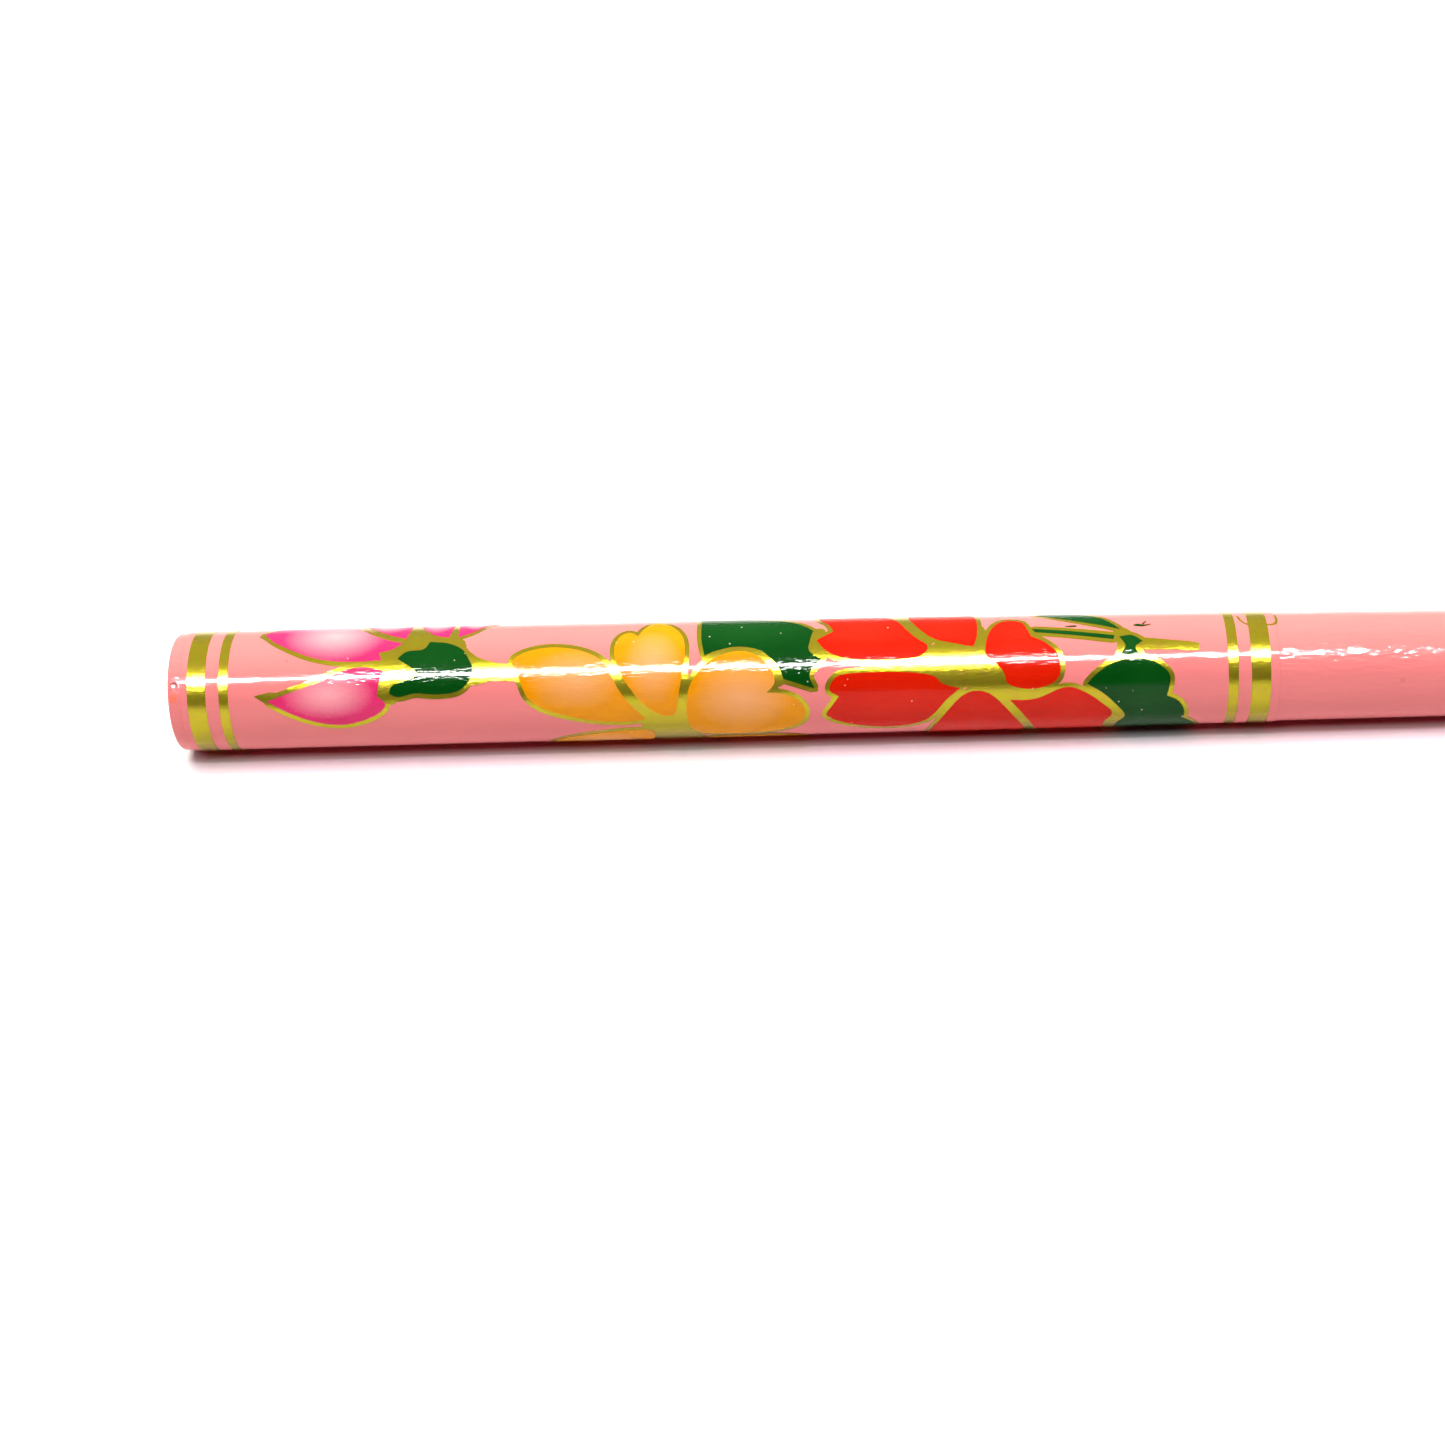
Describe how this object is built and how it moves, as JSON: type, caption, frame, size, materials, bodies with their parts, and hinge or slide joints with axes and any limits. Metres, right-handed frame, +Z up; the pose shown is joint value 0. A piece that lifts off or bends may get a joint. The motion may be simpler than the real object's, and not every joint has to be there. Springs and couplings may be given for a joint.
{
  "type": "hair stick",
  "caption": "Tapered round wooden hair stick in pink lacquer, with gold foil bands and a printed flower spray near its blunt head.",
  "frame": {"origin": "on the surface the stick lies on, under the middle of its overall length and width", "axes": "+X from the blunt head to the tip, +Z up from the surface it lies on, +Y away from the side with the fullest view of the print"},
  "size_m": [0.1798, 0.0082, 0.0082],
  "materials": {
    "wood_core": "fine sanded hardwood, almost wholly covered",
    "pink_lacquer": "salmon pink lacquer under a clear gloss coat",
    "clear_film": "clear transfer film, which reads as the pink lacquer under it",
    "gold_foil": "greenish gold hot-stamped foil under gloss",
    "magenta_ink": "magenta ink fading to a pale pink heart, glossy",
    "yellow_ink": "yellow-orange ink fading to a pale peach heart, glossy",
    "red_ink": "scarlet ink, glossy",
    "green_ink": "deep green ink, glossy"
  },
  "bodies": {
    "root": {"band_head_wide": "gold_foil", "band_head_narrow": "gold_foil", "band_neck_narrow": "gold_foil", "band_neck_wide": "gold_foil", "foil_line_work": "gold_foil", "lacquer_coat": "pink_lacquer", "transfer_film": "clear_film", "wood_core": "wood_core", "magenta_petal_low": "magenta_ink", "magenta_petal_high": "magenta_ink", "magenta_petal_top_left": "magenta_ink", "magenta_petal_top_mid": "magenta_ink", "magenta_petal_top_right": "magenta_ink", "yellow_petal_left": "yellow_ink", "yellow_petal_top": "yellow_ink", "yellow_petal_right": "yellow_ink", "yellow_petal_low_left": "yellow_ink", "yellow_petal_low_right": "yellow_ink", "yellow_petal_bottom": "yellow_ink", "red_petal_high_left": "red_ink", "red_petal_high_mid": "red_ink", "red_petal_right": "red_ink", "red_petal_left": "red_ink", "red_petal_low_mid": "red_ink", "red_petal_low_right": "red_ink", "leaf_calyx": "green_ink", "leaf_between_blossoms": "green_ink", "leaf_neck": "green_ink", "stem_node": "green_ink", "stem_line": "green_ink", "leaf_slender": "green_ink", "leaf_back_head": "green_ink", "leaf_back_mid": "green_ink", "leaf_back_neck": "green_ink"}
  },
  "joints": []
}
